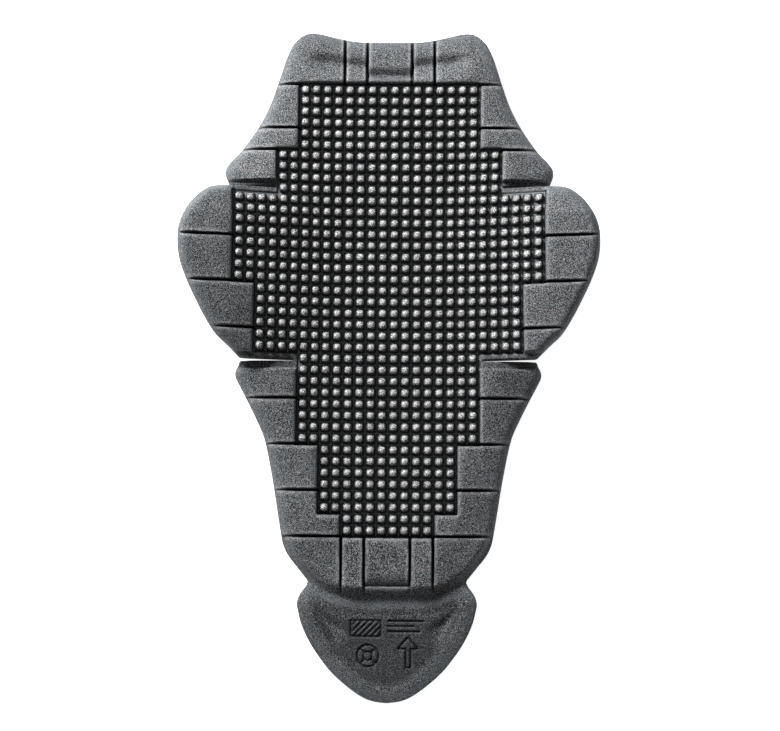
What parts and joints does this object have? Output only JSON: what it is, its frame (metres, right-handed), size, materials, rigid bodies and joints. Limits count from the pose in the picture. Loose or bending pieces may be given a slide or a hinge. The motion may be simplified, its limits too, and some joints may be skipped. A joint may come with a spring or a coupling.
{
  "type": "back protector insert",
  "caption": "Moulded foam back pad with a stepped field of square knobs, grooved border blocks, slit side wings, a lipped neck end and a thin tail flap.",
  "frame": {"origin": "on the flat strip under the spine, at the middle of the pad's length", "axes": "+Z out of the knobbed face, +Y along the spine towards the neck end, +X across the pad"},
  "size_m": [0.2936, 0.474, 0.0461],
  "materials": {
    "foam": "fine-grained matt skin, slightly glossy on the knob tops"
  },
  "bodies": {
    "root": {"protector_pad": "foam"}
  },
  "joints": []
}
